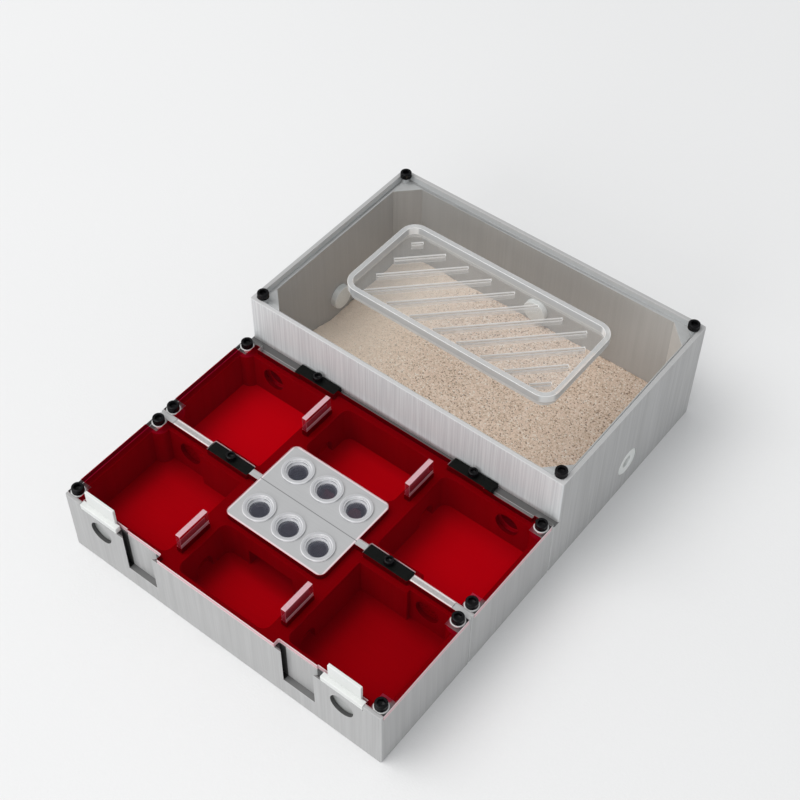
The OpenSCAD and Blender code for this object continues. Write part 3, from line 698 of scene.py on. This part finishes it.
def placeAllScrews():
    reach, half = coverScrew["fromSide"], habitat["halfWidth"]
    for unit, near, far in (("front", habitat["frontY"], habitat["seamY"]),
                            ("rear", habitat["boxY"], habitat["seamY"])):
        inward = math.copysign(coverScrew["fromEnd"], far - near)
        spots = [(side * (half - reach), y, habitat["coverTop"])
                 for side in (-1, 1) for y in (near + inward, far - inward)]
        placeScrews("coverScrews_" + unit, coverScrew, spots, "habitat", "screws_nest_" + unit)
    corner = habitat["boxScrewIn"]
    spots = [(side * (half - corner), y, habitat["boxTop"]) for side in (-1, 1)
             for y in (habitat["boxY"] + habitat["boxLedge"] + corner, habitat["backY"] - corner)]
    placeScrews("coverScrews_box", coverScrew, spots, "habitat", "screws_box")
    for seam, y in (("nests", habitat["seamY"]), ("box", habitat["boxY"])):
        for name, side in (("left", -1), ("right", 1)):
            key = seam + "_" + name
            spot = (side * habitat["keyX"], y, habitat["keyTop"])
            placeScrews("keyScrew_" + key, keyScrew, [spot], "key_" + key, "key_screw_" + key)


# radii from the rim inwards, then heights over the panel, then the places and the weave
vent = {"flange": 7.2, "sleeve": 5.9, "mouth": 5.1, "seat": 4.4, "opening": 3.6,
        "flangeHeight": 1.0, "shoulder": 0.4, "step": -0.85, "meshDrop": 1.7, "sleeveLength": 4.0,
        "pitch": 16.0, "fromSeam": 12.4, "wire": 0.11, "wirePitch": 0.52}


def ventSpots():
    return [(step * vent["pitch"], habitat["seamY"] + side * vent["fromSeam"], habitat["coverTop"])
            for side in (-1, 1) for step in (-1, 0, 1)]


def placeVentRings():
    flange, sleeve, mouth, seat, opening = (
        vent[radius] for radius in ("flange", "sleeve", "mouth", "seat", "opening"))
    top, shoulder, step = vent["flangeHeight"], vent["shoulder"], vent["step"]
    low, floor = -vent["sleeveLength"], -vent["meshDrop"]
    ring = spun([(opening, low), (sleeve - 0.2, low), (sleeve, low + 0.2), (sleeve, 0.0),
                 (flange - 0.1, 0.0), (flange, 0.1), (flange, top - 0.35), (flange - 0.1, top - 0.12),
                 (flange - 0.35, top), (sleeve + 0.35, top), (sleeve + 0.1, top - 0.1),
                 (sleeve, top - 0.3), (sleeve, shoulder + 0.08), (sleeve - 0.08, shoulder),
                 (mouth + 0.22, shoulder), (mouth + 0.05, shoulder - 0.08), (mouth, shoulder - 0.25),
                 (mouth, step + 0.08), (mouth - 0.08, step), (seat + 0.22, step),
                 (seat + 0.05, step - 0.08), (seat, step - 0.25), (seat, floor + 0.08),
                 (seat - 0.08, floor), (opening + 0.1, floor), (opening, floor - 0.1)], 72)
    obj = asObject(joined([(ring, at(*spot)) for spot in ventSpots()]), "ventRings", "ringPlastic", 40)
    standFor(obj, "habitat", "white_plastic", "vent_rings")
    ring.free()


def placeVentMeshes():
    # plain weave: each wire rises and falls over the ones it crosses
    reach = vent["seat"] - 0.1
    pitch, radius = vent["wirePitch"], vent["wire"]
    count = int(reach / pitch)
    lengthwise = Matrix.Rotation(math.pi / 2, 3, "Y")
    wires = bmesh.new()
    for across in (0, 1):
        turn = Matrix.Rotation(math.pi / 2 * across, 3, "Z")
        for row in range(-count, count + 1):
            half = math.sqrt(max(reach ** 2 - (row * pitch) ** 2, 0.04)) - 0.05
            crossings = [step * pitch for step in range(-count - 1, count + 2)]
            stops = [-half] + [x for x in crossings if abs(x) < half - 0.1] + [half]
            loop = bmesh.ops.create_circle(wires, cap_ends=True, segments=5,
                                           radius=radius * mm)["verts"]
            bmesh.ops.rotate(wires, verts=loop, cent=(0, 0, 0), matrix=lengthwise)
            face = loop[0].link_faces[0]
            made = list(loop)
            lastX, lastZ = 0.0, 0.0
            for index, x in enumerate(stops):
                cross = round(x / pitch)
                z = radius * 0.95 * (1 if (cross + row + across) % 2 else -1)
                if index in (0, len(stops) - 1):
                    z = 0.0
                if index:
                    face = bmesh.ops.extrude_discrete_faces(wires, faces=[face])["faces"][0]
                    loop = face.verts[:]
                    made += loop
                bmesh.ops.translate(wires, verts=loop,
                                    vec=((x - lastX) * mm, 0.0, (z - lastZ) * mm))
                lastX, lastZ = x, z
            bmesh.ops.translate(wires, verts=made, vec=(0.0, row * pitch * mm, 0.0))
            bmesh.ops.rotate(wires, verts=made, cent=(0, 0, 0), matrix=turn)
    bmesh.ops.recalc_face_normals(wires, faces=wires.faces[:])
    level = -vent["meshDrop"] + 0.22
    spots = [(x, y, z + level) for x, y, z in ventSpots()]
    obj = asObject(joined([(wires, at(*spot)) for spot in spots]), "ventMeshes", "wovenSteel", 60)
    standFor(obj, "habitat", "steel_mesh", "vent_meshes")
    wires.free()


plug = {"flange": 6.9, "flangeHeight": 1.2, "body": 6.1, "length": 7.0, "socket": 3.2,
        "socketDepth": 5.5, "height": 17.0, "midY": 59.2}


def placePlugs():
    flange, body, socket = plug["flange"], plug["body"], plug["socket"]
    back, inner, bottom = -plug["flangeHeight"], -plug["length"], -plug["socketDepth"]
    turned = [(0.0, inner), (body - 0.7, inner), (body - 0.2, inner + 0.2), (body, inner + 0.6),
              (body, back), (flange - 0.08, back), (flange, back + 0.08), (flange, -0.3),
              (flange - 0.3, 0.0), (socket + 0.35, 0.0), (socket, -0.35), (socket, bottom),
              (0.0, bottom)]
    quarter = math.pi / 2
    walls = {"left": (-habitat["halfWidth"], plug["midY"], Matrix.Rotation(-quarter, 3, "Y")),
             "right": (habitat["halfWidth"], plug["midY"], Matrix.Rotation(quarter, 3, "Y")),
             "back": (0.0, habitat["backY"], Matrix.Rotation(-quarter, 3, "X"))}
    for name, (x, y, turn) in walls.items():
        shape = spun(turned, 64)
        placed = joined([(shape, at(x, y, plug["height"], turn))])
        obj = asObject(placed, "portPlug_" + name, "milkyPlastic", 40)
        standFor(obj, "port_plug_" + name, "white_plastic", "port_plug_" + name)
        shape.free()


sand = {"insideX": 81.0, "nearY": 6.9, "farY": 111.5, "corner": 10.0, "bottom": 3.05,
        "step": 0.62, "grain": 0.17, "wallGap": 0.1,
        "waves": [(17.0, 0.55), (6.0, 0.30), (2.3, 0.16)],  # length and height of the ripples
        # x, y, height of the surface: high at the near left corner, low by the left plug
        "heights": [(-74, 14, 11.6), (-50, 12, 9.6), (-76, 34, 9.2), (-78, 58, 4.7), (-60, 60, 5.6),
                    (-76, 84, 5.2), (-50, 100, 6.6), (-20, 104, 8.0), (10, 106, 8.8), (50, 106, 9.4),
                    (76, 100, 9.2), (78, 60, 8.2), (76, 18, 8.2), (40, 12, 8.4), (0, 12, 8.8),
                    (0, 55, 7.6), (40, 55, 7.9), (-30, 40, 7.8)]}


def sandHeight(x, y):
    total, weight = 0.0, 0.0
    for px, py, height in sand["heights"]:
        near = 1.0 / (((x - px) ** 2 + (y - py) ** 2) + 60.0) ** 1.3
        total += near * height
        weight += near
    place = Vector((x, y, 0.0))
    waves = sum(noise.noise(place / length) * height for length, height in sand["waves"])
    return total / weight + waves


def placeSand():
    halfX, gap = sand["insideX"], sand["wallGap"]
    midY, halfY = (sand["nearY"] + sand["farY"]) / 2, (sand["farY"] - sand["nearY"]) / 2
    bm = bmesh.new()
    bmesh.ops.create_grid(bm, x_segments=int(2 * halfX / sand["step"]),
                          y_segments=int(2 * halfY / sand["step"]), size=1.0)
    bmesh.ops.scale(bm, vec=((halfX - gap) * mm, (halfY - gap) * mm, 1.0), verts=bm.verts[:])
    bmesh.ops.translate(bm, vec=(0.0, midY * mm, 0.0), verts=bm.verts[:])
    for sideX in (-1, 1):
        for sideY in (-1, 1):
            out = Vector((sideX, sideY, 0.0)).normalized()
            corner = Vector((sideX * (halfX - sand["corner"]), midY + sideY * halfY, 0.0)) * mm
            bmesh.ops.bisect_plane(bm, geom=bm.verts[:] + bm.edges[:] + bm.faces[:], dist=1e-6,
                                   plane_co=corner - out * gap * mm, plane_no=out, clear_outer=True)
    bmesh.ops.triangulate(bm, faces=[face for face in bm.faces if len(face.verts) > 4])
    border = [edge for edge in bm.edges if edge.is_boundary]
    skirt = bmesh.ops.extrude_edge_only(bm, edges=border)["geom"]
    low = {element for element in skirt if isinstance(element, bmesh.types.BMVert)}
    grains = random.Random(11)
    for vert in bm.verts:
        if vert in low:
            vert.co.z = sand["bottom"] * mm
        else:
            height = sandHeight(vert.co.x / mm, vert.co.y / mm)
            vert.co.z = (height + grains.uniform(-sand["grain"], sand["grain"])) * mm
    rim = [edge for edge in bm.edges if edge.is_boundary]
    bmesh.ops.holes_fill(bm, edges=rim, sides=0)
    bmesh.ops.recalc_face_normals(bm, faces=bm.faces[:])
    obj = asObject(bm, "sandBed", "looseSand", 80)
    standFor(obj, "habitat", "sand", "sand_bed")


# pieces whose CAD shape is right: each is copied, merged and given fine round edges
kept = {
    "trayGrey": ("nest_base_front", "nest_base_rear"),
    "panelGrey": ("vent_panel_front", "vent_panel_rear"),
    "boxGrey": ("outworld_base",),
    "nestAcrylic": ("nest_cover_front", "nest_cover_rear"),
    "boxAcrylic": ("outworld_cover",),
    "lidAcrylic": ("feeding_lid",),
    "gateAcrylic": ("chamber_gate_front_left", "chamber_gate_front_right",
                    "chamber_gate_rear_left", "chamber_gate_rear_right"),
    "milkyPlastic": ("port_gate_front_left", "port_gate_front_right"),
    "seamPlastic": ("seam_gate_left", "seam_gate_right"),
    "blackPrint": ("key_nests_left", "key_nests_right", "key_box_left", "key_box_right")}
roundEdge = {"trayGrey": 0.2, "panelGrey": 0.35, "boxGrey": 0.25, "nestAcrylic": 0.12,
             "boxAcrylic": 0.15, "lidAcrylic": 0.22, "gateAcrylic": 0.18, "milkyPlastic": 0.25,
             "seamPlastic": 0.25, "blackPrint": 0.35}
roundAbove = {"boxGrey": 31.5}  # lower edges of the box stay sharp
noUnderside = ("nestAcrylic",)  # the covers lie flat on the trays
sharpAlong = {"panelGrey": habitat["seamY"]}  # the two panels meet in a fine line


def withoutUnderside(bm):
    bm.normal_update()
    under = [face for face in bm.faces if face.normal.z < -0.5]
    bmesh.ops.delete(bm, geom=under, context="FACES")


def merged(node):
    # the CAD mesh of a node as one clean bmesh, its flat faces whole
    bm = bmesh.new()
    bm.from_mesh(frame["nodes"][node].data)
    bmesh.ops.remove_doubles(bm, verts=bm.verts[:], dist=1e-6)
    bmesh.ops.dissolve_limit(bm, angle_limit=math.radians(0.5), verts=bm.verts[:],
                             edges=bm.edges[:])
    bm.normal_update()
    return bm


def placeKept(node, finish):
    record = frame["record"]
    bodies = record["behaviour"]["bodies"]
    body = next(name for name, nodes in bodies.items() if node in nodes)
    slot = next(part["material_slot"] for part in record["subparts"] if part["node"] == node)
    first, *rest = node.split("_")
    bm = merged(node)
    lowest = roundAbove.get(finish, -1.0) * mm
    meetY = sharpAlong.get(finish, 1000.0) * mm
    sharp = [edge for edge in bm.edges if len(edge.link_faces) == 2 and edge.is_convex
             and edge.calc_face_angle(0.0) > math.radians(40)
             and min(vert.co.z for vert in edge.verts) > lowest
             and max(abs(vert.co.y - meetY) for vert in edge.verts) > 0.3 * mm]
    bmesh.ops.bevel(bm, geom=sharp, offset=roundEdge[finish] * mm, offset_type="OFFSET",
                    segments=2, profile=0.5, affect="EDGES", clamp_overlap=False,
                    loop_slide=False, material=-1)
    if finish in noUnderside:
        withoutUnderside(bm)
    name = first + "".join(word.title() for word in rest)
    obj = asObject(bm, name, finish, 20)
    standFor(obj, body, slot, node)


def placeFilm(unit):
    # the film as one thin skin, without the underside that lies on the cover
    bm = merged("red_film_" + unit)
    withoutUnderside(bm)
    obj = asObject(bm, "redFilm_" + unit, "redFilm", 30)
    standFor(obj, "habitat", "red_film", "red_film_" + unit)


bpy.context.scene.view_settings.view_transform = "Standard"
placeCamera()
placeLamps()
placeStage()
print("camera, lamp and stage placed")
for finish, nodes in kept.items():
    for node in nodes:
        placeKept(node, finish)
print("kept pieces finished")
placeAllScrews()
print("screws placed")
placeVentRings()
placeVentMeshes()
print("vents placed")
placePlugs()
print("plugs placed")
placeSand()
print("sand placed")
placeFilm("front")
placeFilm("rear")
print("film placed")
